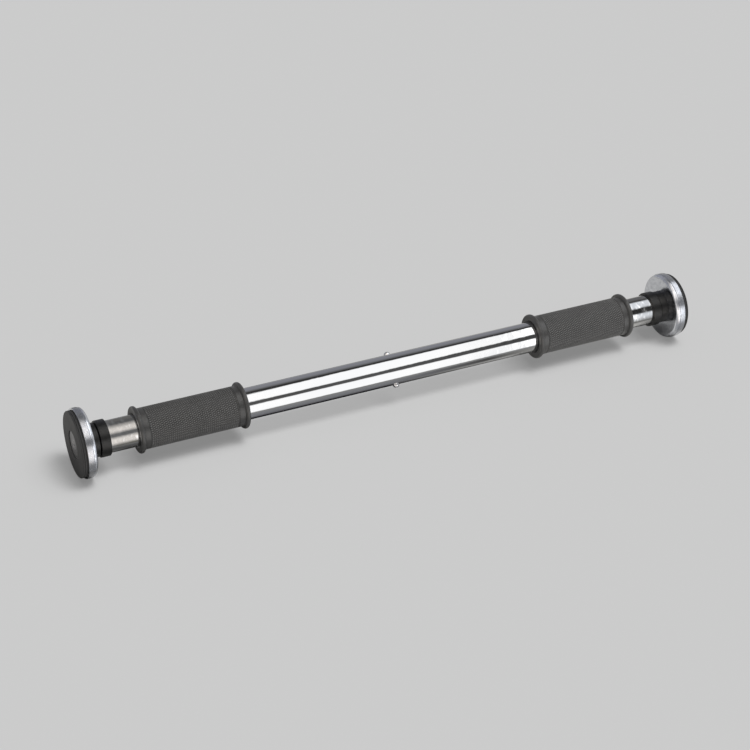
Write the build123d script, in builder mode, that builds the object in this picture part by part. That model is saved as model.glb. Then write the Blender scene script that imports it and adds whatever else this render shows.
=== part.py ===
from build123d import *
import os

# A screw-out doorway pull up bar. The bar's axis is X and its middle is the origin, with +Z up.
# A nut is pinned in each end of the main tube, one with a right-hand and one with a left-hand
# thread, so that turning the tube drives both spindles and their rubber pads outwards.
# All sizes are in millimetres, and places along the bar are distances from its middle.

# Main tube: chromed steel, open from end to end
tube_length = 622.8
tube_diameter = 32.0
tube_wall = 1.5

# Grips: moulded rubber sleeves with a rounded flange at both ends
grip_setback = 36.0  # from the end of the tube to the grip's outer end
grip_length = 112.4
grip_wall = 4.6
flange_height = 3.0  # above the surface of the grip
flange_width = 4.4
flange_rounding = 1.9
band_width = 5.6  # smooth band beside each flange, before the knurled middle
groove_width = 0.8
groove_depth = 0.4
grip_mouth = 1.8  # bevel where the tube enters the bore

# Centre block: a plug that stiffens the tube at mid-length, held by two screws
block_length = 30.0
centre_screw_lean = 43.0  # degrees from upright, towards +Y
centre_screw_diameter = 3.5
centre_screw_reach = 9.0  # below the surface of the tube
centre_head_diameter = 6.4
centre_head_height = 3.2
centre_head_rounding = 2.0
centre_head_slot = 4.0
centre_head_slot_width = 0.9
centre_head_slot_depth = 1.2

# Spindles: trapezoidal thread, drawn as its outer cylinder
thread_diameter = 20.0
thread_pitch = 4.0
full_turns = 40  # turns of the tube from closed to fully out
spindle_lead_in = 1.5
neck_diameter = 12.0
neck_flats = 9.5  # across the two flats that stop the pad turning on the spindle
spigot_diameter = 10.0

# Nuts and the pins that stop them turning in the tube
nut_length = 40.0
nut_lead_in = 1.0
nut_pin_diameter = 3.0
nut_pin_setback = 4.0  # from the end of the tube to the pins
nut_pin_floor = 1.5  # metal left between a pin and the thread

# End caps: black plastic rings pushed over the ends of the tube
cap_wall = 2.3
cap_skirt = 7.5  # length of tube that a cap covers
cap_end_wall = 2.5
cap_rounding = 0.8

# Guide plugs: slide in the tube and carry the inner end of each spindle
guide_length = 18.0
guide_lead_in = 1.0
guide_washer_diameter = 16.0
guide_washer_thickness = 1.6
guide_screw_diameter = 5.0
guide_screw_depth = 14.0  # inside the spigot
guide_head_diameter = 9.5
guide_head_height = 3.6
guide_head_rounding = 1.8

# Pad hubs: black plastic bosses between the spindles and the pads
hub_wall = 7.0
hub_width = 8.3
hub_seat_depth = 4.3  # the end of the thread stands this deep in the hub
hub_rounding = 0.7

# Pads: a pressed steel cup with a rubber disc, clamped by a plate and a screw
cup_diameter = 70.0
cup_depth = 9.9
cup_wall = 1.2
cup_shoulder = 3.4
hem_width = 5.6  # the rim is folded back over the wall for this far
hem_step = 0.45
hem_rounding = 0.4
pad_rubber_proud = 5.0  # rubber standing out of the cup
pad_rubber_rounding = 1.2
recess_diameter = 28.0
recess_depth = 0.9  # from the rubber's face down to the clamp plate
plate_thickness = 3.4
plate_rounding = 0.4
pad_screw_diameter = 6.0
pad_screw_depth = 18.0  # inside the spindle's neck
pad_head_diameter = 11.5
pad_head_rim = 0.3
pad_head_slot = 5.6
pad_head_slot_width = 1.3
pad_head_slot_depth = 1.9

# Clearances, on the radius or along the bar
push_fit = 0.05  # pieces of one assembly, pushed or screwed together
running_fit = 0.08  # thread in nut and spigot in guide plug
slide_fit = 0.12  # guide plug in tube
cap_clearance = 0.5  # cap around the moving thread
loose_fit = 0.3  # pieces that pass through each other without touching
end_float = 0.2  # guide plug between its shoulder and its washer
stop_gap = 0.3  # what is left between two moving pieces at the ends of the travel
tap_drill_run_out = 2.0  # a screw's hole is this much deeper than the screw

# Radii and places that follow from the sizes above
tube_radius = tube_diameter / 2
bore_radius = tube_radius - tube_wall
thread_radius = thread_diameter / 2
neck_radius = neck_diameter / 2
grip_radius = tube_radius + grip_wall
flange_radius = grip_radius + flange_height
cap_radius = tube_radius + push_fit + cap_wall
hub_radius = thread_radius + hub_wall
nut_bore_radius = thread_radius + running_fit
pin_inner_end = nut_bore_radius + nut_pin_floor
travel = full_turns * thread_pitch
tube_end = tube_length / 2
grip_outer_end = tube_end - grip_setback
grip_inner_end = grip_outer_end - grip_length
nut_inner_end = tube_end - nut_length
cap_face = tube_end + cap_end_wall
hub_face = cap_face + stop_gap
thread_outer_end = hub_face + hub_seat_depth
cup_back = hub_face + hub_width
cup_floor = cup_back + cup_wall
cup_rim = cup_back + cup_depth
pad_face = cup_rim + pad_rubber_proud
plate_back = pad_face - recess_depth - plate_thickness
guide_outer_end = nut_inner_end - travel - stop_gap
guide_inner_end = guide_outer_end - guide_length
spigot_end = guide_inner_end - end_float
thread_inner_end = guide_outer_end + end_float
cup_radius = cup_diameter / 2
cup_side_radius = cup_radius - hem_step
cup_bore_radius = cup_side_radius - cup_wall
cup_corner = cup_shoulder - cup_wall
pad_rubber_radius = cup_bore_radius - push_fit

SAME_PLACE = 1e-6  # two places nearer than this are one

os.makedirs("parts", exist_ok=True)


def save(piece, name):
    """Labels a finished piece and writes its STEP file."""
    piece.part.label = name
    export_step(piece.part, f"parts/{name}.step")


def section_of(out):
    """The section plane of one end: its x runs outwards from the middle, and its y is the radius."""
    return Plane(origin=(0, 0, 0), x_dir=(out, 0, 0), z_dir=(0, -out, 0))


def across(out, place):
    """The plane square to the bar at a place on one side of the middle, facing outwards."""
    return Plane(origin=(out * place, 0, 0), x_dir=(0, 1, 0), z_dir=(out, 0, 0))


def upright(out, place, turn=0):
    """A plane through the axis at a place, whose normal stands square to the bar."""
    return Plane(origin=(out * place, 0, 0), x_dir=(out, 0, 0), z_dir=(0, 0, 1)).rotated((turn, 0, 0))


def band(start, end, inner, outer, mode=Mode.ADD):
    """Half the section of a ring, from start to end along the bar and from inner to outer radius."""
    with Locations(((start + end) / 2, (inner + outer) / 2)):
        Rectangle(end - start, outer - inner, mode=mode)


def corners(outline, radius, places):
    """The corners of an outline that lie at a radius and at any of the places along the bar."""
    return [
        corner
        for corner in outline.vertices()
        if abs(corner.Y - radius) < SAME_PLACE and any(abs(corner.X - at) < SAME_PLACE for at in places)
    ]


def countersunk(face, tip, clearance, mode=Mode.ADD):
    """Half the section of the pad's screw, from its flat face to its tip, larger by a clearance."""
    head = pad_head_diameter / 2 + clearance
    shank = pad_screw_diameter / 2 + clearance
    rim = face - pad_head_rim
    cone_end = rim - (head - shank)
    outline = ((face, 0), (face, head), (rim, head), (cone_end, shank), (tip, shank), (tip, 0))
    Polygon(*outline, align=None, mode=mode)


def keyed_round(radius, flats):
    """A circle with two flats."""
    Circle(radius)
    Rectangle(2 * radius, flats, mode=Mode.INTERSECT)


def drill_both_sides(plane, radius, floor):
    """Drills a blind hole from each side of the bar towards its axis, down to a floor's radius."""
    for direction in (-1, 1):
        with BuildSketch(plane.offset(direction * floor), mode=Mode.PRIVATE) as hole:
            Circle(radius)
        extrude(hole.sketch, amount=direction * tube_radius, mode=Mode.SUBTRACT)


def cut_cross(face, span, width, depth):
    """Sinks the cross of a screw driver into the piece being built, below a plane."""
    with BuildSketch(face, mode=Mode.PRIVATE) as cross:
        Rectangle(span, width)
        Rectangle(width, span)
    extrude(cross.sketch, amount=-depth, mode=Mode.SUBTRACT)


def main_tube():
    """The tube, with holes for the centre screws and for the nut pins."""
    with BuildPart() as tube:
        with BuildSketch(across(1, -tube_end)):
            Circle(tube_radius)
            Circle(bore_radius, mode=Mode.SUBTRACT)
        extrude(amount=tube_length)
        with BuildSketch(upright(1, 0, -centre_screw_lean)):
            Circle(centre_screw_diameter / 2 + push_fit)
        extrude(amount=tube_radius, both=True, mode=Mode.SUBTRACT)
        for out in (-1, 1):
            with BuildSketch(upright(out, tube_end - nut_pin_setback)):
                Circle(nut_pin_diameter / 2 + push_fit)
            extrude(amount=tube_radius, both=True, mode=Mode.SUBTRACT)
    return tube


def grip(out):
    """A rubber sleeve with a flange and a smooth band at each end, and a groove beside each band."""
    bore = tube_radius + push_fit
    ends = (grip_inner_end, grip_outer_end)
    groove_floor = grip_radius - groove_depth
    with BuildPart() as sleeve:
        with BuildSketch(section_of(out)) as outline:
            band(*ends, bore, grip_radius)
            band(ends[0], ends[0] + flange_width, bore, flange_radius)
            band(ends[1] - flange_width, ends[1], bore, flange_radius)
            flange_edges = (ends[0], ends[0] + flange_width, ends[1] - flange_width, ends[1])
            fillet(corners(outline, flange_radius, flange_edges), flange_rounding)
            chamfer(corners(outline, bore, ends), grip_mouth)
            for start in (
                ends[0] + flange_width + band_width,
                ends[1] - flange_width - band_width - groove_width,
            ):
                band(start, start + groove_width, groove_floor, flange_radius, mode=Mode.SUBTRACT)
        revolve(axis=Axis.X)
    return sleeve


def centre_block():
    """The plug inside the middle of the tube, with a blind hole for each centre screw."""
    floor = tube_radius - centre_screw_reach - tap_drill_run_out
    with BuildPart() as block:
        with BuildSketch(across(1, -block_length / 2)):
            Circle(bore_radius - push_fit)
        extrude(amount=block_length)
        drill_both_sides(upright(1, 0, -centre_screw_lean), centre_screw_diameter / 2 + push_fit, floor)
    return block


def centre_screws():
    """Two round-headed cross-slotted screws, opposite each other."""
    axis_plane = upright(1, 0, -centre_screw_lean)
    seat = tube_radius + push_fit
    with BuildPart() as screws:
        with BuildSketch(axis_plane.offset(seat)):
            Circle(centre_head_diameter / 2)
        extrude(amount=centre_head_height)
        crown = screws.edges().sort_by(Axis(axis_plane.origin, axis_plane.z_dir))[-1]
        fillet(crown, centre_head_rounding)
        with BuildSketch(axis_plane.offset(seat)):
            Circle(centre_screw_diameter / 2)
        extrude(amount=-centre_screw_reach)
        cut_cross(
            axis_plane.offset(seat + centre_head_height),
            centre_head_slot,
            centre_head_slot_width,
            centre_head_slot_depth,
        )
        mirror(about=axis_plane)
    return screws


def nut(out):
    """The nut in the end of the tube, with a bevelled bore and a blind hole for each pin."""
    with BuildPart() as body:
        with BuildSketch(section_of(out)) as outline:
            band(nut_inner_end, tube_end, nut_bore_radius, bore_radius - push_fit)
            chamfer(corners(outline, nut_bore_radius, (nut_inner_end, tube_end)), nut_lead_in)
        revolve(axis=Axis.X)
        pin_plane = upright(out, tube_end - nut_pin_setback)
        drill_both_sides(pin_plane, nut_pin_diameter / 2 + push_fit, pin_inner_end - push_fit)
    return body


def nut_pins(out):
    """Two pins through the tube's wall into the nut, hidden under the end cap."""
    pin_plane = upright(out, tube_end - nut_pin_setback)
    with BuildPart() as pins:
        with BuildSketch(pin_plane.offset(pin_inner_end)):
            Circle(nut_pin_diameter / 2)
        extrude(amount=tube_radius - push_fit - pin_inner_end)
        mirror(about=pin_plane)
    return pins


def end_cap(out):
    """The ring over the end of the tube, whose end wall leaves the thread room to pass."""
    skirt_end = tube_end - cap_skirt
    with BuildPart() as cap:
        with BuildSketch(section_of(out)) as outline:
            band(skirt_end, cap_face, thread_radius + cap_clearance, cap_radius)
            band(skirt_end, tube_end, 0, tube_radius + push_fit, mode=Mode.SUBTRACT)
            fillet(corners(outline, cap_radius, (skirt_end, cap_face)), cap_rounding)
        revolve(axis=Axis.X)
    return cap


def guide_plug(out):
    """The plastic plug that keeps the spindle's inner end in the middle of the tube."""
    rim = bore_radius - slide_fit
    with BuildPart() as plug:
        with BuildSketch(section_of(out)) as outline:
            band(guide_inner_end, guide_outer_end, spigot_diameter / 2 + running_fit, rim)
            chamfer(corners(outline, rim, (guide_inner_end, guide_outer_end)), guide_lead_in)
        revolve(axis=Axis.X)
    return plug


def spindle(out):
    """Thread, inner spigot for the guide plug, and outer neck with two flats for the pad."""
    with BuildPart() as rod:
        with BuildSketch(section_of(out)) as outline:
            band(thread_inner_end, thread_outer_end, 0, thread_radius)
            chamfer(corners(outline, thread_radius, (thread_inner_end,)), spindle_lead_in)
            band(spigot_end, thread_inner_end, 0, spigot_diameter / 2)
        revolve(axis=Axis.X)
        with BuildSketch(across(out, thread_outer_end)):
            keyed_round(neck_radius, neck_flats)
        extrude(amount=plate_back - thread_outer_end)
        with BuildSketch(across(out, plate_back)):
            Circle(pad_screw_diameter / 2 + push_fit)
        extrude(amount=-(pad_screw_depth + tap_drill_run_out), mode=Mode.SUBTRACT)
        with BuildSketch(across(out, spigot_end)):
            Circle(guide_screw_diameter / 2 + push_fit)
        extrude(amount=guide_screw_depth + tap_drill_run_out, mode=Mode.SUBTRACT)
    return rod


def guide_washer(out):
    """The washer that keeps the guide plug on its spigot."""
    with BuildPart() as washer:
        with BuildSketch(across(out, spigot_end)):
            Circle(guide_washer_diameter / 2)
            Circle(guide_screw_diameter / 2 + push_fit, mode=Mode.SUBTRACT)
        extrude(amount=-guide_washer_thickness)
    return washer


def guide_screw(out):
    """The screw in the spindle's inner end."""
    head_seat = spigot_end - guide_washer_thickness
    with BuildPart() as screw:
        with BuildSketch(section_of(out)) as outline:
            band(head_seat - guide_head_height, head_seat, 0, guide_head_diameter / 2)
            crown = corners(outline, guide_head_diameter / 2, (head_seat - guide_head_height,))
            fillet(crown, guide_head_rounding)
            band(head_seat, spigot_end + guide_screw_depth, 0, guide_screw_diameter / 2)
        revolve(axis=Axis.X)
    return screw


def pad_hub(out):
    """The boss behind the pad: a round seat for the thread's end, then a hole with two flats."""
    with BuildPart() as hub:
        with BuildSketch(section_of(out)) as outline:
            band(hub_face, cup_back, 0, hub_radius)
            fillet(corners(outline, hub_radius, (hub_face,)), hub_rounding)
        revolve(axis=Axis.X)
        with BuildSketch(across(out, hub_face)):
            Circle(thread_radius + push_fit)
        extrude(amount=hub_seat_depth, mode=Mode.SUBTRACT)
        with BuildSketch(across(out, hub_face)):
            keyed_round(neck_radius + push_fit, neck_flats + 2 * push_fit)
        extrude(amount=hub_width, mode=Mode.SUBTRACT)
    return hub


def pad_cup(out):
    """The pressed cup: a flat back, a rounded shoulder and a hemmed rim round an open front."""
    hem_start = cup_rim - hem_width
    with BuildPart() as cup:
        with BuildSketch(section_of(out)) as outline:
            band(cup_back, cup_rim, 0, cup_side_radius)
            fillet(corners(outline, cup_side_radius, (cup_back,)), cup_shoulder)
            band(hem_start, cup_rim, 0, cup_radius)
            fillet(corners(outline, cup_radius, (hem_start, cup_rim)), hem_rounding)
        revolve(axis=Axis.X)
        with BuildSketch(section_of(out)) as outline:
            band(cup_floor, cup_rim, 0, cup_bore_radius)
            fillet(corners(outline, cup_bore_radius, (cup_floor,)), cup_corner)
        revolve(axis=Axis.X, mode=Mode.SUBTRACT)
        with BuildSketch(across(out, cup_back)):
            keyed_round(neck_radius + push_fit, neck_flats + 2 * push_fit)
        extrude(amount=cup_wall, mode=Mode.SUBTRACT)
    return cup


def pad_rubber(out):
    """The rubber disc in the cup, with a recess for the clamp plate and a bore for the neck."""
    plate_hole = recess_diameter / 2
    with BuildPart() as rubber:
        with BuildSketch(section_of(out)) as outline:
            band(cup_floor, pad_face, neck_radius + loose_fit, pad_rubber_radius)
            band(plate_back, pad_face, 0, plate_hole, mode=Mode.SUBTRACT)
            fillet(corners(outline, pad_rubber_radius, (pad_face,)), pad_rubber_rounding)
            fillet(corners(outline, pad_rubber_radius, (cup_floor,)), cup_corner + loose_fit)
        revolve(axis=Axis.X)
    return rubber


def clamp_plate(out):
    """The steel disc at the bottom of the recess, countersunk for the pad's screw."""
    face = plate_back + plate_thickness
    rim = recess_diameter / 2 - push_fit
    with BuildPart() as plate:
        with BuildSketch(section_of(out)) as outline:
            band(plate_back, face, 0, rim)
            fillet(corners(outline, rim, (face,)), plate_rounding)
            countersunk(face, plate_back, push_fit, mode=Mode.SUBTRACT)
        revolve(axis=Axis.X)
    return plate


def pad_screw(out):
    """The countersunk cross-slotted screw that clamps the plate to the neck of the spindle."""
    face = plate_back + plate_thickness
    with BuildPart() as screw:
        with BuildSketch(section_of(out)):
            countersunk(face, plate_back - pad_screw_depth, 0)
        revolve(axis=Axis.X)
        cut_cross(across(out, face), pad_head_slot, pad_head_slot_width, pad_head_slot_depth)
    return screw


END_PIECES = (
    grip,
    nut,
    nut_pins,
    end_cap,
    guide_plug,
    spindle,
    guide_washer,
    guide_screw,
    pad_hub,
    pad_cup,
    pad_rubber,
    clamp_plate,
    pad_screw,
)

for make in (main_tube, centre_block, centre_screws):
    save(make(), make.__name__)
for side, out in (("left", -1), ("right", 1)):
    for make in END_PIECES:
        save(make(out), f"{side}_{make.__name__}")
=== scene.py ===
import math

import bpy
import numpy as np
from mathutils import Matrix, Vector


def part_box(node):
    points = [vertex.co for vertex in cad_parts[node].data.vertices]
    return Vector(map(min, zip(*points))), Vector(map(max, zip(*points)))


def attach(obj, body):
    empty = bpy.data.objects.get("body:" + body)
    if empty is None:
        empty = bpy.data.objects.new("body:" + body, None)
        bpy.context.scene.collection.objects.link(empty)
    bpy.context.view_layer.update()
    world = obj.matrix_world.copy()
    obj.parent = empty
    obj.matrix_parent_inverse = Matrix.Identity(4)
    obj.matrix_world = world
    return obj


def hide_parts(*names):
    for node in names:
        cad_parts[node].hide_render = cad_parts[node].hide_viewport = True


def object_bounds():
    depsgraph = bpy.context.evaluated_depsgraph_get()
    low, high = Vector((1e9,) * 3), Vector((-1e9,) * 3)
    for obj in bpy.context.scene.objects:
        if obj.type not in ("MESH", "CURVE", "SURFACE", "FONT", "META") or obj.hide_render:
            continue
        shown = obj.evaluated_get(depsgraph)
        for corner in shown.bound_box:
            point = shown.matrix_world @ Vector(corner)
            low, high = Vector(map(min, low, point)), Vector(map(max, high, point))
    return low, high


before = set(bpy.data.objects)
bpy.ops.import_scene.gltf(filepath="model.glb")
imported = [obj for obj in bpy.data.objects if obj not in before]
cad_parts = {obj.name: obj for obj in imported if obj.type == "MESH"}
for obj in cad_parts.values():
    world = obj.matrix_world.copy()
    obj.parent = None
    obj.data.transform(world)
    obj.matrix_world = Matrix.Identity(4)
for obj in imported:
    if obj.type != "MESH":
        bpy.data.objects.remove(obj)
cad_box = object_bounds()

# Lengths are in metres and angles in degrees. The bar's axis is X, and its middle is the origin.
MM = 0.001
SIDES = (("left", -1), ("right", 1))
SCENE = bpy.context.scene


# ---------------------------------------------------------------- camera and studio


def place_camera():
    """A long lens, in front of the bar and a little to its left, looking down on it."""
    yaw, pitch = 24.79, -30.80
    camera = bpy.data.objects.new("camera", bpy.data.cameras.new("camera"))
    camera.data.lens = 89.06
    camera.data.sensor_width = 36.0
    camera.location = (-0.7007, -1.4770, 0.9682)
    camera.rotation_euler = (math.radians(90 + pitch), 0, math.radians(-yaw))
    SCENE.collection.objects.link(camera)
    SCENE.camera = camera


place_camera()
SCENE.view_settings.view_transform = "Standard"


class Nodes:
    """A short way to write a node tree: each call adds one node, sets its inputs and links it."""

    def __init__(self, tree):
        self.tree = tree
        self.tree.nodes.clear()

    def add(self, kind, inputs=None, **settings):
        """One node. A node or a socket among the inputs is linked, and any other value is set."""
        node = self.tree.nodes.new(kind)
        for name, value in settings.items():
            setattr(node, name, value)
        for key, value in (inputs or {}).items():
            if isinstance(value, bpy.types.Node):
                value = value.outputs[0]
            if isinstance(value, bpy.types.NodeSocket):
                self.tree.links.new(value, node.inputs[key])
            else:
                node.inputs[key].default_value = value
        return node

    def math(self, operation, *values):
        """A Math node on one, two or three values."""
        return self.add("ShaderNodeMath", dict(enumerate(values)), operation=operation)

    def ramp(self, factor, stops):
        """A Color Ramp: each stop is a place and a grey level or a colour."""
        node = self.add("ShaderNodeValToRGB", {0: factor})
        elements = node.color_ramp.elements
        while len(elements) < len(stops):
            elements.new(0.5)
        for element, (place, colour) in zip(elements, sorted(stops, key=lambda stop: stop[0])):
            element.position = place
            level = (colour,) * 3 if isinstance(colour, float) else colour
            element.color = (*level, 1.0)
        return node

    def mix(self, factor, first, second, blend="MIX"):
        """The colour of a Mix node between two colours."""
        inputs = {0: factor, 6: first, 7: second}
        return self.add("ShaderNodeMix", inputs, data_type="RGBA", blend_type=blend).outputs[2]


def studio_world():
    """Even light for dull surfaces, and two long white panels in a dim room for the shiny ones.

    The panels run along the bar. Each covers a span of angles round the bar's axis, counted from the front
    horizon up and over, with a soft edge and a dark slit between the two. The spans, their softness and
    their strength change along the bar, with the X part of the direction that a surface mirrors.
    """
    world = bpy.data.worlds.new("studio")
    world.use_nodes = True
    world.cycles.sampling_method = "NONE"
    SCENE.world = world
    n = Nodes(world.node_tree)
    axes = n.add("ShaderNodeSeparateXYZ", {0: n.add("ShaderNodeTexCoord").outputs["Generated"]})
    along = axes.outputs["X"]
    front = n.math("MULTIPLY", axes.outputs["Y"], -1.0)
    angle = n.math("MULTIPLY", n.math("ARCTAN2", axes.outputs["Z"], front), 180 / math.pi)
    places = (0.212, 0.228, 0.31, 0.351, 0.425, 0.498, 0.507)

    def along_bar(*values):
        """A value that changes along the bar, one for each place, held in a ramp as a part of its span."""
        lowest, span = -60.0, 200.0
        stops = [(place, (value - lowest) / span) for place, value in zip(places, values)]
        return n.math("MULTIPLY_ADD", n.ramp(along, stops), span, lowest)

    def step(place, edge, soft):
        """From zero to one as the first angle passes the second."""
        past = n.math("DIVIDE", n.math("SUBTRACT", place, edge), soft)
        return n.add("ShaderNodeClamp", {0: n.math("ADD", past, 0.5)})

    softness = along_bar(22, 22, 5, 5, 5, 15, 15)
    low_start = step(angle, along_bar(-34, -34, -41, -41, -41, -32, -32), along_bar(25, 25, 5, 5, 5, 42, 42))
    low_end = step(along_bar(12, 12, 15, 15, 15, 12, 12), angle, softness)
    high_start = step(angle, along_bar(49, 49, 39, 39, 44, 59, 59), softness)
    high_end = step(along_bar(95, 95, 100, 104, 105, 112, 112), angle, along_bar(40, 40, 5, 5, 5, 15, 15))
    panels = n.math("ADD", n.math("MULTIPLY", low_start, low_end), n.math("MULTIPLY", high_start, high_end))

    room_levels = (
        (-180, (0.36, 0.365, 0.40)),
        (-150, (0.36, 0.365, 0.39)),
        (-60, 0.33),
        (-40, 0.32),
        (98, 0.05),
        (118, 0.05),
        (121, 0.12),
        (128, (0.20, 0.202, 0.215)),
        (138, (0.29, 0.293, 0.32)),
        (147, (0.325, 0.33, 0.365)),
        (165, (0.305, 0.308, 0.345)),
        (178, (0.36, 0.365, 0.40)),
    )
    whole_turn = n.math("MULTIPLY_ADD", angle, 1 / 360, 0.5)
    room = n.ramp(whole_turn, [(degrees / 360 + 0.5, level) for degrees, level in room_levels])
    warm_dim, cool_dim = (0.57, 0.55, 0.48), (0.54, 0.53, 0.49)
    dim = n.ramp(along, [
        (0.15, 1.0),
        (0.21, 0.85),
        (0.226, warm_dim),
        (0.24, warm_dim),
        (0.28, 1.0),
        (0.472, 1.0),
        (0.485, cool_dim),
        (0.495, cool_dim),
        (0.506, 1.0),
    ])
    least = n.math("MULTIPLY", along_bar(28, 15, 0, 0, 0, 0, 45), 0.01)
    lifted = n.mix(1.0, n.mix(1.0, room, dim, "MULTIPLY"), least, "LIGHTEN")
    between = n.math("MULTIPLY", n.math("GREATER_THAN", angle, -22.0), n.math("LESS_THAN", angle, 80.0))
    slit = n.math("MULTIPLY", along_bar(28, 18, 11, 13, 10, 2, 45), 0.01)
    warm_white, cool_white = (0.24, 0.226, 0.21), (0.25, 0.258, 0.27)
    panel = n.ramp(along, [
        (0.212, (0.33, 0.31, 0.29)),
        (0.228, warm_white),
        (0.24, warm_white),
        (0.26, 0.9),
        (0.27, 0.9),
        (0.285, 0.40),
        (0.40, 0.40),
        (0.43, 0.36),
        (0.455, 0.85),
        (0.475, 0.85),
        (0.49, cool_white),
    ])
    panel_strength = (4, 4, 4, 1)
    shiny = n.mix(panels, n.mix(between, lifted, slit), n.mix(1.0, panel, panel_strength, "MULTIPLY"))
    plain = n.math("MULTIPLY_ADD", along, 0.28, 0.62)
    backdrop = (0.597, 0.597, 0.597, 1)
    ray = n.add("ShaderNodeLightPath").outputs
    shown = n.mix(ray["Is Camera Ray"], n.mix(ray["Is Glossy Ray"], plain, shiny), backdrop)
    n.add("ShaderNodeOutputWorld", {0: n.add("ShaderNodeBackground", {0: shown})})


def overhead_light(name, spread):
    """A soft light that falls on the floor only, from above, a little to the front and to the right."""
    lamp = bpy.data.lights.new(name, "SUN")
    lamp.energy = 5.45
    lamp.angle = math.radians(spread)
    light = bpy.data.objects.new(name, lamp)
    light.rotation_euler = (math.radians(15), math.radians(15), 0)
    light.light_linking.receiver_collection = FLOOR_ONLY
    SCENE.collection.objects.link(light)
    return light


def floor():
    """A pale table under the pads, far wider than the view.

    Shiny pieces mirror it only from a little in front of the bar backwards, in strips across the bar with a
    painted grey: painted shade that follows the bar's shadow, and painted light where a strip is brighter,
    blending from one strip to the next.
    """
    half, height = 30.0, cad_box[0][2]
    corners = [(-half, -half, height), (half, -half, height), (half, half, height), (-half, half, height)]
    mesh = bpy.data.meshes.new("floor")
    mesh.from_pydata(corners, [], [(0, 1, 2, 3)])
    sheet = bpy.data.objects.new("floor", mesh)
    SCENE.collection.objects.link(sheet)
    material = bpy.data.materials.new("floor")
    material.use_nodes = True
    material.cycles.emission_sampling = "NONE"
    n = Nodes(material.node_tree)
    glow = n.add("ShaderNodeEmission", {"Color": (0.213, 0.213, 0.213, 1)})
    top = n.add("ShaderNodeBsdfDiffuse", {"Color": (0.10, 0.10, 0.10, 1)})
    lit = n.add("ShaderNodeAddShader", {0: top, 1: glow})
    bounce = n.add("ShaderNodeBsdfDiffuse", {"Color": (0.145, 0.145, 0.145, 1)})
    axes = n.add("ShaderNodeSeparateXYZ", {0: n.add("ShaderNodeTexCoord").outputs["Object"]})
    per_metre = 4.0
    deep = n.math("MULTIPLY_ADD", axes.outputs["Y"], per_metre, 0.5)
    across = n.math("ADD", axes.outputs["X"], 0.5)

    def strip(tint, *stops):
        """Painted grey across the bar's shadow for the mirrored floor: each stop is a distance behind the
        bar's axis, and a level, below one for painted shade and above one for painted light.
        """
        shades = [tuple(level * part for part in tint) for _, level in stops]
        return n.ramp(deep, [(y * MM * per_metre + 0.5, shade) for (y, _), shade in zip(stops, shades)])

    # Painted shade and painted light in the floor as shiny pieces mirror it: dark levels paint the bar's
    # shadow, bright levels paint extra light.
    warm, cool = (0.085, 0.084, 0.081), (0.082, 0.083, 0.088)
    middle = strip(cool, (-36, 1.0), (-19, 0.82), (-10, 0.32), (-5, 0.1), (10, 0.04), (60, 0.9))
    strips = (
        (-0.340, strip(warm, (0, 0.2), (50, 0.95), (110, 2.2))),
        (-0.325, strip(warm, (-38, 0.6), (-28, 1.0), (-18, 1.8))),
        (-0.300, strip(warm, (-36, 0.7), (-26, 0.33), (-18, 0.34), (-9, 0.68), (0, 0.56))),
        (-0.150, middle),
        (0.0, middle),
        (0.120, strip(warm, (-30, 0.32), (-21, 0.24), (-14, 1.2), (-8, 1.8), (0, 1.0), (15, 0.7))),
        (0.200, strip(warm, (-30, 1.6), (0, 2.4), (60, 1.6))),
        (0.270, strip(warm, (-36, 1.1), (-26, 1.9), (0, 2.4), (15, 2.0), (60, 1.5))),
        (0.315, strip(warm, (-36, 1.1), (-26, 1.9), (0, 3.0), (15, 2.4), (60, 1.5))),
    )
    start, colour = strips[0]
    for end, following in strips[1:]:
        share = n.add("ShaderNodeMapRange", {0: across, 1: start + 0.5, 2: end + 0.5})
        colour = n.mix(share, colour, following)
        start = end
    behind = n.math("GREATER_THAN", axes.outputs["Y"], -38 * MM)
    painted_grey = n.add("ShaderNodeBsdfDiffuse", {"Color": colour})
    mirrored = n.add("ShaderNodeMixShader", {0: behind, 1: n.add("ShaderNodeBsdfTransparent"), 2: painted_grey})
    ray = n.add("ShaderNodeLightPath").outputs
    unseen = n.add("ShaderNodeMixShader", {0: ray["Is Glossy Ray"], 1: bounce, 2: mirrored})
    shown = n.add("ShaderNodeMixShader", {0: ray["Is Camera Ray"], 1: unseen, 2: lit})
    n.add("ShaderNodeOutputMaterial", {0: shown})
    mesh.materials.append(material)
    return sheet


studio_world()
FLOOR_ONLY = bpy.data.collections.new("floor_only")
FLOOR_ONLY.objects.link(floor())
overhead_light("overhead", 22)
WIDE_LIGHT = overhead_light("wide_overhead", 48)


# ---------------------------------------------------------------- surfaces


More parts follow.
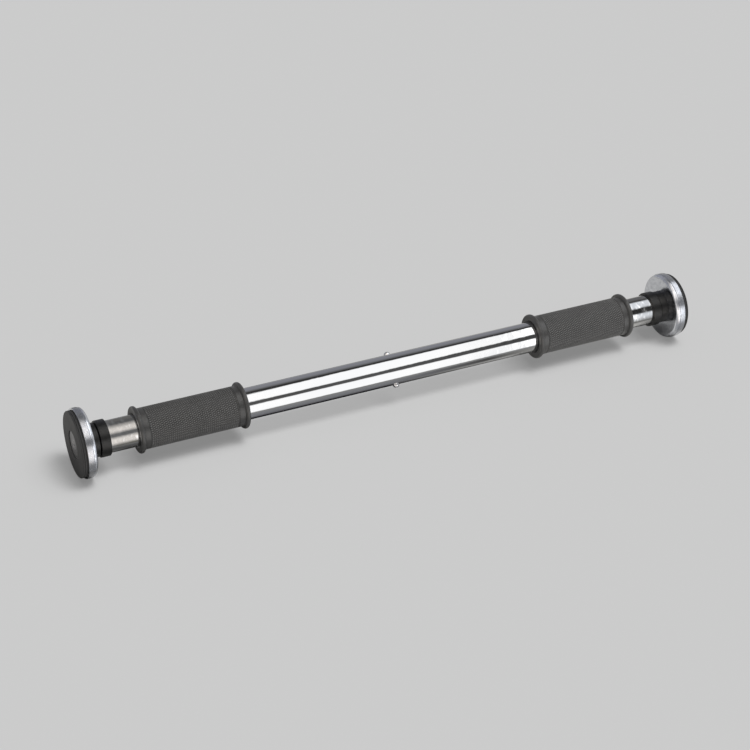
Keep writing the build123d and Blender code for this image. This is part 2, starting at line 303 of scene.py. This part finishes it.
def rounded(corners, steps=8, hold=0.15 * MM):
    """An outline with its corners rounded: each corner is a place, a radius from the axis and a rounding.

    A rounded corner is an arc that touches both runs beside it. Each straight run also gets a point a
    little inside each of its ends, which keeps its shading flat.
    """
    points = []
    count = len(corners)
    for i, (x, r, rounding) in enumerate(corners):
        here = np.array((x, r))
        if rounding == 0 or i in (0, count - 1):
            points.append([here])
            continue
        before = np.array(corners[i - 1][:2]) - here
        after = np.array(corners[i + 1][:2]) - here
        before, after = before / np.linalg.norm(before), after / np.linalg.norm(after)
        half_angle = math.acos(np.clip(before @ after, -1, 1)) / 2
        centre = here + (before + after) / np.linalg.norm(before + after) * rounding / math.sin(half_angle)
        start = here + before * rounding / math.tan(half_angle) - centre
        end = here + after * rounding / math.tan(half_angle) - centre
        share = np.linspace(0, 1, steps + 1)[:, None]
        sweep = math.pi - 2 * half_angle
        arc = (np.sin((1 - share) * sweep) * start + np.sin(share * sweep) * end) / math.sin(sweep)
        points.append(list(centre + arc))
    line = points[0]
    for before, group in zip(points, points[1:]):
        run = group[0] - before[-1]
        length = np.linalg.norm(run)
        if length > 4 * hold:
            line = line + [before[-1] + run * hold / length, group[0] - run * hold / length]
        line = line + group
    return np.array(line)


def surface(points, loop=False):
    """Faces over a grid of points, with rows along a profile and columns that close round the axis.

    The rows close on themselves too when loop is set. Otherwise a first or last row that has shrunk to a
    point becomes one pole, with triangles round it. Faces are turned outwards by the sign of the volume,
    which is the sum of their triangles' triple products.
    """
    rows, columns = points.shape[:2]
    flat = points.reshape(-1, 3)
    index = np.arange(rows * columns).reshape(rows, columns)
    first, last = (not loop and np.ptp(points[row], axis=0).max() < 1e-9 for row in (0, -1))
    if first:
        flat, index = flat[columns - 1:], np.maximum(index - columns + 1, 0)
    if last:
        flat = flat[:len(flat) - columns + 1]
        index = np.minimum(index, len(flat) - 1)
    low, high = (index, np.roll(index, -1, axis=0)) if loop else (index[:-1], index[1:])
    quads = np.stack((low, np.roll(low, -1, 1), np.roll(high, -1, 1), high), axis=-1)
    caps = ([quads[0][:, [0, 2, 3]]] if first else []) + ([quads[-1][:, [0, 1, 2]]] if last else [])
    caps = np.concatenate(caps) if caps else np.zeros((0, 3), int)
    quads = quads[int(first):len(quads) - int(last)].reshape(-1, 4)
    corners = np.concatenate((quads[:, [0, 1, 2]], quads[:, [0, 2, 3]], caps))
    a, b, c = (flat[corners[:, k]] for k in range(3))
    if (np.cross(a, b) * c).sum() < 0:
        quads, caps = quads[:, ::-1], caps[:, ::-1]
    return flat, quads, caps


def mesh_of(name, *surfaces):
    """One mesh of one or more surfaces."""
    mesh = bpy.data.meshes.new(name)
    starts = np.cumsum([0] + [len(flat) for flat, _, _ in surfaces])
    faces = []
    for start, (_, quads, caps) in zip(starts, surfaces):
        faces += (quads + start).tolist() + (caps + start).tolist()
    mesh.from_pydata(np.concatenate([flat for flat, _, _ in surfaces]).tolist(), [], faces)
    return mesh


def turned(profile, columns=192):
    """Carries a profile of places and radii round the X axis: (x, r cos a, r sin a) for each angle a."""
    angle = np.linspace(0, 2 * math.pi, columns, endpoint=False)
    x = np.repeat(profile[:, :1], columns, axis=1)
    r = profile[:, 1:]
    return np.stack((x, r * np.cos(angle), r * np.sin(angle)), axis=-1)


def finished(name, mesh, material, body, node, sharp=32):
    """Smooths the mesh up to an edge angle, and puts the piece on its body in place of its CAD node."""
    mesh.materials.append(material)
    piece = bpy.data.objects.new(name, mesh)
    SCENE.collection.objects.link(piece)
    mesh.polygons.foreach_set("use_smooth", np.ones(len(mesh.polygons), bool))
    mesh.set_sharp_from_angle(angle=math.radians(sharp))
    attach(piece, body)
    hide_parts(node)


# ---------------------------------------------------------------- materials


def new_material(name, **constant):
    """A material with one Principled shader, whose even values are set on its own sockets."""
    material = bpy.data.materials.new(name)
    material.use_nodes = True
    n = Nodes(material.node_tree)
    inputs = {key.replace("_", " "): value for key, value in constant.items()}
    shader = n.add("ShaderNodeBsdfPrincipled", inputs)
    n.add("ShaderNodeOutputMaterial", {0: shader})
    place = n.add("ShaderNodeTexCoord").outputs["Object"]
    return material, n, shader, place


def join(n, shader, **sockets):
    """Links nodes to the shader's sockets."""
    for name, source in sockets.items():
        socket = source if isinstance(source, bpy.types.NodeSocket) else source.outputs[0]
        n.tree.links.new(socket, shader.inputs[name.replace("_", " ")])


def noise(n, place, scale, detail=4.0, roughness=0.55, stretch=(1, 1, 1)):
    """Noise at a scale per metre, drawn out along the axes where stretch is small."""
    mapped = n.add("ShaderNodeMapping", {0: place, 3: stretch})
    inputs = {"Vector": mapped, "Scale": scale, "Detail": detail, "Roughness": roughness}
    return n.add("ShaderNodeTexNoise", inputs)


def chrome_material():
    """Bright chrome with the faint ripple of its plating and a few soft smudges."""
    material, n, shader, place = new_material("polished_chrome", Metallic=1.0)
    smudge = noise(n, place, 38, stretch=(0.4, 1, 1))
    ripple = noise(n, place, 80, detail=2)
    colour = n.ramp(smudge, [(0.3, (0.585, 0.59, 0.60)), (0.7, (0.62, 0.62, 0.62))])
    roughness = n.ramp(smudge, [(0.35, 0.04), (0.7, 0.065)])
    bump = n.add("ShaderNodeBump", {"Strength": 1.0, "Distance": 0.0001, "Height": ripple})
    join(n, shader, Base_Color=colour, Roughness=roughness, Normal=bump)
    return material


def grip_material():
    """Black moulded rubber: near black in the knurl's valleys, and grey on its tips.

    The colour is darker towards the left grip: painted shade, because the right grip is lit more brightly.
    """
    material, n, shader, place = new_material("knurled_rubber")
    mottle = noise(n, place, 70)
    grain = noise(n, place, 2600, detail=3)
    tip = n.add("ShaderNodeAttribute", attribute_name="tip").outputs["Fac"]
    tip_grey = n.ramp(mottle, [(0.3, (0.215, 0.212, 0.207)), (0.7, (0.26, 0.256, 0.25))])
    deep = n.ramp(mottle, [(0.3, (0.006, 0.006, 0.006)), (0.7, (0.012, 0.012, 0.0117))])
    # Grey on the knurl's tips and near black in its valleys, following the knurl's height.
    tip_to_valley = n.mix(n.math("POWER", tip, 1.5), deep, tip_grey)
    axes = n.add("ShaderNodeSeparateXYZ", {0: place})
    # Painted shade: darkens the left grip against the right one, which catches more light.
    bloom = n.ramp(n.math("ADD", axes.outputs["X"], 0.5), [(0.25, 0.80), (0.75, 1.0)])
    colour = n.mix(1.0, tip_to_valley, bloom, "MULTIPLY")
    roughness = n.ramp(mottle, [(0.3, 0.27), (0.7, 0.34)])
    bump = n.add("ShaderNodeBump", {"Strength": 0.3, "Distance": 0.00003, "Height": grain})
    join(n, shader, Base_Color=colour, Roughness=roughness, Normal=bump)
    return material


def collar_material():
    """Black moulded plastic with a fine grain."""
    material, n, shader, place = new_material("collar_plastic")
    mottle = noise(n, place, 140, stretch=(2.5, 1, 1))
    grain = noise(n, place, 3200, detail=2)
    colour = n.ramp(mottle, [(0.3, (0.0015, 0.0015, 0.0016)), (0.7, (0.0040, 0.0040, 0.0039))])
    roughness = n.ramp(mottle, [(0.3, 0.30), (0.7, 0.40)])
    bump = n.add("ShaderNodeBump", {"Strength": 0.25, "Distance": 0.00004, "Height": grain})
    join(n, shader, Base_Color=colour, Roughness=roughness, Normal=bump)
    return material


def zinc_material(name, dark, light, smooth, rough, scale, darker_rim=False):
    """Zinc plate: flakes of a brighter and a duller grey, each with its own gloss.

    With the rim option set, the colour is darker from just inside the fold of the cup's rim outwards.
    """
    material, n, shader, place = new_material(name, Metallic=1.0)
    warp = noise(n, place, scale * 0.6, detail=3)
    flakes = n.add("ShaderNodeTexVoronoi", {"Vector": place, "Scale": scale}).outputs["Color"]
    level = n.add("ShaderNodeMix", {0: 0.45, 2: flakes, 3: warp.outputs[0]}, data_type="FLOAT").outputs[0]
    fine = noise(n, place, scale * 9, detail=3)
    colour = n.ramp(level, [(0.25, dark), (0.75, light)])
    roughness = n.ramp(level, [(0.25, rough), (0.75, smooth)])
    if darker_rim:
        axes = n.add("ShaderNodeSeparateXYZ", {0: place})
        # Darker from just inside the fold of the cup's rim outwards.
        rim_darkening = n.ramp(n.math("ABSOLUTE", axes.outputs["X"]), [(0.3256, 1.0), (0.3266, 0.72)])
        colour = n.mix(1.0, colour, rim_darkening, "MULTIPLY")
    bump = n.add("ShaderNodeBump", {"Strength": 0.2, "Distance": 0.00004, "Height": fine})
    join(n, shader, Base_Color=colour, Roughness=roughness, Normal=bump)
    return material


def pad_material():
    """Dark grey moulded rubber with a dry bloom."""
    material, n, shader, place = new_material("pad_rubber")
    bloom = noise(n, place, 60)
    grain = noise(n, place, 1800, detail=4)
    colour = n.ramp(bloom, [(0.3, (0.040, 0.040, 0.040)), (0.7, (0.064, 0.064, 0.065))])
    roughness = n.ramp(bloom, [(0.3, 0.55), (0.7, 0.72)])
    bump = n.add("ShaderNodeBump", {"Strength": 0.35, "Distance": 0.00008, "Height": grain})
    join(n, shader, Base_Color=colour, Roughness=roughness, Normal=bump)
    return material


def nylon_material():
    """Natural nylon, slightly cloudy."""
    material, n, shader, place = new_material("natural_nylon", Subsurface_Weight=0.1)
    cloud = noise(n, place, 120)
    colour = n.ramp(cloud, [(0.3, (0.66, 0.64, 0.57)), (0.7, (0.74, 0.72, 0.66))])
    roughness = n.ramp(cloud, [(0.3, 0.36), (0.7, 0.5)])
    join(n, shader, Base_Color=colour, Roughness=roughness)
    return material


CHROME = chrome_material()
GRIP = grip_material()
COLLAR = collar_material()
CUP = zinc_material("mottled_zinc", (0.63, 0.65, 0.70), (0.83, 0.85, 0.90), 0.15, 0.27, 320, darker_rim=True)
THREAD = zinc_material("thread_zinc", (0.50, 0.51, 0.53), (0.70, 0.71, 0.73), 0.18, 0.32, 700)
PLATE = zinc_material("plate_zinc", (0.25, 0.25, 0.26), (0.32, 0.32, 0.33), 0.32, 0.40, 500)
SCREW = zinc_material("screw_zinc", (0.62, 0.62, 0.63), (0.80, 0.80, 0.81), 0.12, 0.20, 900)
FIXING = zinc_material("fixing_zinc", (0.34, 0.34, 0.35), (0.46, 0.46, 0.47), 0.24, 0.34, 900)
NUT = zinc_material("oiled_steel", (0.30, 0.29, 0.28), (0.46, 0.45, 0.43), 0.22, 0.36, 600)
PAD = pad_material()
NYLON = nylon_material()


# ---------------------------------------------------------------- the bar


def reach(node):
    """A node's two ends along the bar, as distances from the middle, and its largest radius."""
    low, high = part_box(node)
    ends = sorted((abs(low.x), abs(high.x)))
    return ends[0], ends[1], high.y


def main_tube():
    """The tube: outside, end, bore and end again, as one closed profile with its edges just broken."""
    low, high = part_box("main_tube")
    outer, wall, edge = high.y, 1.5 * MM, 0.4 * MM
    profile = rounded([
        (low.x, outer - wall / 2, 0),
        (low.x, outer, edge),
        (high.x, outer, edge),
        (high.x, outer - wall, edge),
        (low.x, outer - wall, edge),
        (low.x, outer - wall / 2, 0),
    ])[:-1]
    mesh = mesh_of("main_tube", surface(turned(profile, 256), loop=True))
    finished("chrome_tube", mesh, CHROME, "tube", "main_tube")


def knurl(around, along):
    """Height of crossed knurling, 0 to 1, from two phases counted in grooves.

    Two sets of V grooves run at opposite slants, where the sum and the difference of the phases are
    whole numbers. The height is the lower of the two distances to a groove, with its tip cut flat.
    """
    cut = 0.6
    slopes = [2 * np.abs(phase - np.round(phase)) for phase in (around + along, around - along)]
    return np.clip(np.minimum(*slopes), 0, cut) / cut


def grip(side, out):
    """A sleeve with a flange, a smooth band and a fine groove at each end, and a knurled middle.

    The knurled radius is the skin's, less a valley's depth times one minus the knurl's height. The tip
    attribute is that height in the middle, and one even value on the smooth parts.
    """
    start, end, flange = reach(f"{side}_grip")
    tube = reach("main_tube")[2] + 0.05 * MM
    skin, flange_width, band, groove, depth = 20.6 * MM, 4.4 * MM, 5.6 * MM, 0.8 * MM, 0.4 * MM
    mouth, rounding, edge = 1.8 * MM, 1.9 * MM, 0.25 * MM
    valley, smooth_tip_level = 0.75 * MM, 0.52
    starts_round, samples, cell = 58, 6, 4.255 * MM

    def end_profile(at, inwards):
        """From the bore, round the flange and over the band to the edge of the knurled middle."""
        band_end = flange_width + band
        line = rounded([
            (mouth, tube, 0),
            (0, tube + mouth, 0.3 * MM),
            (0, flange, rounding),
            (flange_width, flange, rounding),
            (flange_width, skin, 0.5 * MM),
            (band_end, skin, edge),
            (band_end + 0.2 * MM, skin - depth, edge / 2),
            (band_end + groove - 0.2 * MM, skin - depth, edge / 2),
            (band_end + groove, skin, 0),
        ], steps=6)
        return np.column_stack((at + inwards * line[:, 0], line[:, 1]))

    inner, outer = end_profile(start, 1), end_profile(end, -1)[::-1]
    low, high = inner[-1, 0], outer[0, 0]
    rows = round((high - low) / cell * samples)
    columns = starts_round * samples
    middle = np.linspace(low, high, rows + 1)[1:-1]
    profile = np.concatenate((inner, np.column_stack((middle, np.full(rows - 1, skin))), outer))
    around, along = np.arange(columns)[None] / samples, np.arange(1, rows)[:, None] / samples
    knurled = slice(len(inner), len(inner) + rows - 1)
    relief = np.ones((len(profile), columns))
    relief[knurled] = knurl(around, along)
    tip_levels = np.full_like(relief, smooth_tip_level)
    tip_levels[knurled] = relief[knurled]
    radius = profile[:, 1:] - valley * (1 - relief)
    angle = around * 2 * math.pi / starts_round
    x = np.repeat(out * profile[:, :1], columns, axis=1)
    points = np.stack((x, radius * np.cos(angle), radius * np.sin(angle)), axis=-1)
    mesh = mesh_of(f"{side}_grip", surface(points, loop=True))
    tip = mesh.attributes.new("tip", "FLOAT", "POINT")
    tip.data.foreach_set("value", tip_levels.ravel().astype(np.float32))
    finished(f"{side}_knurled_grip", mesh, GRIP, "tube", f"{side}_grip", sharp=60)


def ribbed(start, end, radius, pitch, depth):
    """A stretch of profile with fine turned rings: the radius falls by a raised cosine every pitch."""
    rings = round((end - start) / pitch)
    place = np.linspace(start, end, rings * 6 + 1)
    phase = (place - start) / (end - start) * rings
    return np.column_stack((place, radius - depth * (0.5 + 0.5 * np.cos(2 * math.pi * phase))))


def end_cap(side, out):
    """The ring over the end of the tube: a ringed band between two rounded edges, and an end wall."""
    start, end, outer = reach(f"{side}_end_cap")
    tube_radius, tube_end = reach("main_tube")[2] + 0.05 * MM, reach("main_tube")[1]
    hole, edge, margin = 10.5 * MM, 0.8 * MM, 1.6 * MM
    front = rounded([(start, tube_radius, 0), (start, outer, edge), (start + margin, outer, 0)])
    rings = ribbed(start + margin, end - margin, outer, 1.1 * MM, 0.10 * MM)
    back = rounded([
        (end - margin, outer, 0),
        (end, outer, edge),
        (end, hole, 0.3 * MM),
        (tube_end, hole, 0),
        (tube_end, tube_radius, 0),
    ])
    profile = np.concatenate((front[:-1], rings, back[1:])) * (out, 1)
    mesh = mesh_of(f"{side}_end_cap", surface(turned(profile), loop=True))
    finished(f"{side}_black_end_cap", mesh, COLLAR, "tube", f"{side}_end_cap")


def pad_hub(side, out):
    """The boss between spindle and pad: a relief beside the end cap, fine rings, a seat and a bore."""
    start, end, outer = reach(f"{side}_pad_hub")
    seat, seat_depth, bore, edge, margin = 10.05 * MM, 4.3 * MM, 6.05 * MM, 0.7 * MM, 1.5 * MM
    relief, relief_depth = 0.45 * MM, 1.5 * MM
    front = rounded([
        (start, seat, 0),
        (start, outer - relief_depth, 0.1 * MM),
        (start + relief, outer - relief_depth, 0.1 * MM),
        (start + relief, outer, edge),
        (start + margin + relief, outer, 0),
    ])
    rings = ribbed(start + margin + relief, end - margin, outer, 1.2 * MM, 0.12 * MM)
    back = rounded([
        (end - margin, outer, 0),
        (end, outer, 0.3 * MM),
        (end, bore, 0),
        (start + seat_depth, bore, 0),
        (start + seat_depth, seat, 0),
    ])
    profile = np.concatenate((front[:-1], rings, back[1:])) * (out, 1)
    mesh = mesh_of(f"{side}_pad_hub", surface(turned(profile), loop=True))
    finished(f"{side}_black_pad_hub", mesh, COLLAR, f"{side}_spindle", f"{side}_pad_hub")


def pad_cup(side, out):
    """The pressed cup: a flat back, a rounded shoulder, the side, a fine groove, and a folded rim."""
    back, rim, outer = reach(f"{side}_pad_cup")
    wall, step, hem, shoulder, bore = 1.2 * MM, 0.45 * MM, 5.6 * MM, 3.4 * MM, 6.05 * MM
    side_radius, hem_start = outer - step, rim - hem
    groove_floor = side_radius - 0.35 * MM
    profile = rounded([
        (back, bore, 0),
        (back, side_radius, shoulder),
        (hem_start - 0.5 * MM, side_radius, 0.1 * MM),
        (hem_start - 0.2 * MM, groove_floor, 0.05 * MM),
        (hem_start, groove_floor, 0.05 * MM),
        (hem_start, outer, 0.3 * MM),
        (rim, outer, 0.5 * MM),
        (rim, side_radius - wall, 0.3 * MM),
        (back + wall, side_radius - wall, shoulder - wall),
        (back + wall, bore, 0),
    ]) * (out, 1)
    mesh = mesh_of(f"{side}_pad_cup", surface(turned(profile, 256), loop=True))
    finished(f"{side}_zinc_cup", mesh, CUP, f"{side}_spindle", f"{side}_pad_cup")


def pad_rubber(side, out):
    """The rubber disc: its side steps in at the cup's rim, and has a fine V groove behind its edge."""
    floor_place, face, outer = reach(f"{side}_pad_rubber")
    rim = reach(f"{side}_pad_cup")[1]
    bore, recess, recess_depth = 6.3 * MM, 14.0 * MM, 4.3 * MM
    waist = outer - 0.7 * MM
    groove, half_width, groove_depth = face - 1.8 * MM, 0.45 * MM, 0.6 * MM
    profile = rounded([
        (floor_place, bore, 0),
        (floor_place, outer, 2.6 * MM),
        (rim - 0.6 * MM, outer, 0.1 * MM),
        (rim - 0.6 * MM, waist, 0.1 * MM),
        (rim + 1.0 * MM, waist, 0.2 * MM),
        (rim + 1.5 * MM, outer, 0.3 * MM),
        (groove - half_width, outer, 0.05 * MM),
        (groove, outer - groove_depth, 0),
        (groove + half_width, outer, 0.05 * MM),
        (face, outer, 1.2 * MM),
        (face, recess, 0.4 * MM),
        (face - recess_depth, recess, 0),
        (face - recess_depth, bore, 0),
    ]) * (out, 1)
    mesh = mesh_of(f"{side}_pad_rubber", surface(turned(profile, 256), loop=True))
    finished(f"{side}_rubber_disc", mesh, PAD, f"{side}_spindle", f"{side}_pad_rubber")


def spindle(side, out):
    """The spindle's trapezoidal thread, its neck and its spigot.

    The thread's radius is a trapezoid wave of the phase place / pitch minus turn, which makes a
    right-hand helix at the right end and, mirrored, a left-hand one at the left end. It never stands above
    the slope of the lead-in.
    """
    start, end, crest = reach(f"{side}_spindle")
    plug_high = reach(f"{side}_guide_plug")[1]
    hub_start = reach(f"{side}_pad_hub")[0]
    pitch, depth, seat_depth, neck, spigot = 4.0 * MM, 2.2 * MM, 4.3 * MM, 4.7 * MM, 5.0 * MM
    thread_start, thread_end = plug_high + 0.2 * MM, hub_start + seat_depth
    columns, per_pitch = 64, 14
    lead_in, half_land, flank = 1.5 * MM, 0.32, 0.14
    rows = round((thread_end - thread_start) / pitch * per_pitch)
    place = np.linspace(thread_start, thread_end, rows)[:, None]
    angle = np.linspace(0, 2 * math.pi, columns, endpoint=False)[None]
    phase = (place / pitch - angle / (2 * math.pi)) % 1
    wave = np.clip((half_land - np.abs(phase - 0.5)) / flank, 0, 1)
    rise = np.clip(place - thread_start, 0, lead_in)
    radius = np.minimum(crest - depth * (1 - wave), crest - lead_in + rise)
    thread = np.stack((out * place + 0 * angle, radius * np.cos(angle), radius * np.sin(angle)), axis=-1)
    inner = turned(np.array([(start, 0), (start, spigot), (plug_high, spigot)]) * (out, 1), columns)
    outer = turned(np.array([(thread_end, neck), (end, neck), (end, 0)]) * (out, 1), columns)
    mesh = mesh_of(f"{side}_spindle", surface(np.concatenate((inner, thread, outer))))
    node = body = f"{side}_spindle"
    finished(f"{side}_threaded_spindle", mesh, THREAD, body, node, sharp=50)


def screw_head(radius, height, dome, span, width, depth, rings=28, columns=96):
    """A screw head's top as heights over a disc: a dome, less a cross whose arms have sloping walls.

    The dome is a quarter of an ellipse near the rim and flat in the middle. A point is in the cross
    where it lies within half a width of one arm's line and half a span along it.
    """
    share = np.concatenate(((0,), np.linspace(0.04, 1, rings)))[:, None]
    angle = np.linspace(0, 2 * math.pi, columns, endpoint=False)[None]
    u, v = radius * share * np.cos(angle), radius * share * np.sin(angle)
    past = np.clip((share * radius - (radius - dome)) / dome, 0, 1)
    top = height - dome * (1 - np.sqrt(1 - past**2)) + 0 * u
    wall = 0.18 * MM
    arms = [
        np.minimum((span / 2 - np.abs(a)) / wall, (width / 2 - np.abs(b)) / wall) for a, b in ((u, v), (v, u))
    ]
    inside = np.clip(np.maximum(*arms) + 0.5, 0, 1)
    return u, v, top - depth * inside


def with_shank(head, outline):
    """A head's top, carried on down by an outline of radii and heights turned about the screw's axis."""
    u, v, top = head
    angle = np.linspace(0, 2 * math.pi, u.shape[1], endpoint=False)[None]
    radius, height = outline[:, :1], outline[:, 1:]
    u = np.concatenate((u, radius * np.cos(angle)))
    v = np.concatenate((v, radius * np.sin(angle)))
    return u, v, np.concatenate((top, height + 0 * angle))


def centre_screw(direction):
    """A round-headed screw on the middle of the tube, in a plane turned about the bar's axis."""
    lean = math.radians(43)
    seat = reach("main_tube")[2] + 0.05 * MM
    head_radius, shank_radius, under, length = 3.2 * MM, 1.75 * MM, -0.25 * MM, 9.0 * MM
    head = screw_head(head_radius, 3.2 * MM, dome=3.0 * MM, span=3.6 * MM, width=0.8 * MM, depth=1.2 * MM)
    shank = [(head_radius, under), (shank_radius, under), (shank_radius, -length), (0, -length)]
    u, v, w = with_shank(head, np.array(shank))
    up = direction * np.array((0, math.sin(lean), math.cos(lean)))
    along = np.array((1.0, 0, 0))
    across = np.cross(up, along)
    points = u[..., None] * along + v[..., None] * across + (seat + w)[..., None] * up
    return surface(points)


def centre_screws():
    """Both centre screws as one mesh."""
    mesh = mesh_of("centre_screws", centre_screw(1), centre_screw(-1))
    finished("cross_head_screws", mesh, SCREW, "tube", "centre_screws", sharp=40)


def clamp_plate(side, out):
    """The disc at the bottom of the recess, with a broken edge and a countersink."""
    back, face, outer = reach(f"{side}_clamp_plate")
    head, shank, rim = 5.8 * MM, 3.05 * MM, 0.3 * MM
    profile = rounded([
        (back, shank, 0),
        (back, outer, 0.2 * MM),
        (face, outer, 0.4 * MM),
        (face, head, 0.1 * MM),
        (face - rim, head, 0),
        (face - rim - head + shank, shank, 0),
    ]) * (out, 1)
    mesh = mesh_of(f"{side}_clamp_plate", surface(turned(profile), loop=True))
    finished(f"{side}_recess_plate", mesh, PLATE, f"{side}_spindle", f"{side}_clamp_plate")


def pad_screw(side, out):
    """The countersunk screw in the middle of the recess."""
    tip = reach(f"{side}_pad_screw")[0]
    face = reach(f"{side}_clamp_plate")[1]
    head_radius, edge, shank_radius, length = 5.75 * MM, 0.3 * MM, 3 * MM, face - tip
    head = screw_head(head_radius, 0, dome=0.12 * MM, span=5.6 * MM, width=1.3 * MM, depth=1.9 * MM)
    neck = -edge - head_radius + shank_radius
    shank = [(head_radius, -edge), (shank_radius, neck), (shank_radius, -length), (0, -length)]
    u, v, w = with_shank(head, np.array(shank))
    mesh = mesh_of(f"{side}_pad_screw", surface(np.stack((out * (face + w), u, v), axis=-1)))
    node, body = f"{side}_pad_screw", f"{side}_spindle"
    finished(f"{side}_pad_fixing_screw", mesh, FIXING, body, node, sharp=40)


def inner_pieces():
    """The pieces inside the bar keep their CAD shape and get their own finish. Returns them."""
    fasteners = {name: SCREW for name in ("nut_pins", "guide_washer", "guide_screw")}
    finishes = {"nut": NUT, "guide_plug": NYLON, **fasteners}
    pieces = {f"{side}_{name}": material for side, _ in SIDES for name, material in finishes.items()}
    pieces["centre_block"] = NYLON
    for name, material in pieces.items():
        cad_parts[name].data.materials.clear()
        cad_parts[name].data.materials.append(material)
    return [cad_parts[name] for name in pieces]


def pass_wide_light(pieces):
    """Lets the wide light through what is polished, which throws down what it stops, and what is inside."""
    passed = bpy.data.collections.new("passed_by_wide_light")
    for piece in pieces:
        passed.objects.link(piece)
    for member in passed.collection_objects:
        member.light_linking.link_state = "EXCLUDE"
    WIDE_LIGHT.light_linking.blocker_collection = passed


main_tube()
centre_screws()
for side, out in SIDES:
    for make in (grip, end_cap, pad_hub, pad_cup, pad_rubber, spindle, clamp_plate, pad_screw):
        make(side, out)
hidden = inner_pieces()
polished = ("chrome_tube", "left_threaded_spindle", "right_threaded_spindle")
pass_wide_light(hidden + [bpy.data.objects[name] for name in polished])
